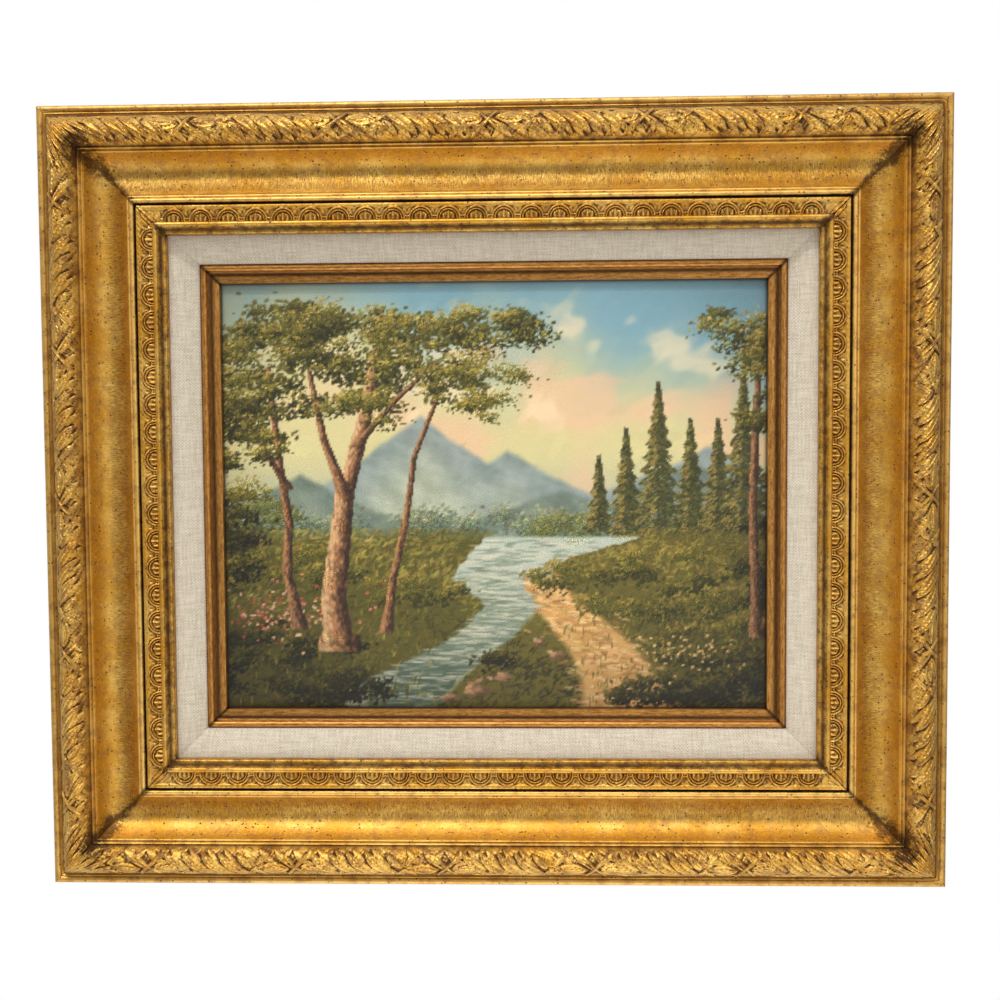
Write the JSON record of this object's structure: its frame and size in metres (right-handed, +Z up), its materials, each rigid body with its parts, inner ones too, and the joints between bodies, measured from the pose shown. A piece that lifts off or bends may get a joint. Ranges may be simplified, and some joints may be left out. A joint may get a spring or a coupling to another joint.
{
  "type": "framed oil painting",
  "caption": "Small oil landscape on stretched canvas in a wide carved gilt frame with a linen liner and gilt slip, hung from a sawtooth hanger.",
  "frame": {"origin": "the back of the sawtooth hanger at its centre, where it meets the wall, under the middle of the top rail", "axes": "+X along the top rail, to the right as seen from the front; +Z up; +Y into the wall, so the picture faces -Y"},
  "size_m": [0.3886, 0.0482, 0.3378],
  "materials": {
    "gilt": "antiqued gold leaf over toned gesso on wood, rubbed, with dark fly specks",
    "linen": "wood wrapped in natural plain-weave linen",
    "bronze_gilt": "brown-gold leaf, brushed and toned, on wood",
    "oil_paint": "oil paint on primed canvas, thick in the lights",
    "bare_wood": "bare planed pine",
    "plated_steel": "brass-plated steel, dulled"
  },
  "bodies": {
    "root": {"frame_rail_bottom": "gilt", "frame_rail_right": "gilt", "frame_rail_top": "gilt", "frame_rail_left": "gilt", "linen_liner_bottom": "linen", "linen_liner_right": "linen", "linen_liner_top": "linen", "linen_liner_left": "linen", "gilt_slip_bottom": "bronze_gilt", "gilt_slip_right": "bronze_gilt", "gilt_slip_top": "bronze_gilt", "gilt_slip_left": "bronze_gilt", "painted_canvas": "oil_paint", "stretcher_bar_bottom": "bare_wood", "stretcher_bar_right": "bare_wood", "stretcher_bar_top": "bare_wood", "stretcher_bar_left": "bare_wood", "sawtooth_hanger": "plated_steel", "hanger_nail_left": "plated_steel", "hanger_nail_right": "plated_steel", "turn_button_bottom": "plated_steel", "turn_button_right": "plated_steel", "turn_button_top": "plated_steel", "turn_button_left": "plated_steel", "turn_button_screw_bottom": "plated_steel", "turn_button_screw_right": "plated_steel", "turn_button_screw_top": "plated_steel", "turn_button_screw_left": "plated_steel"}
  },
  "joints": []
}
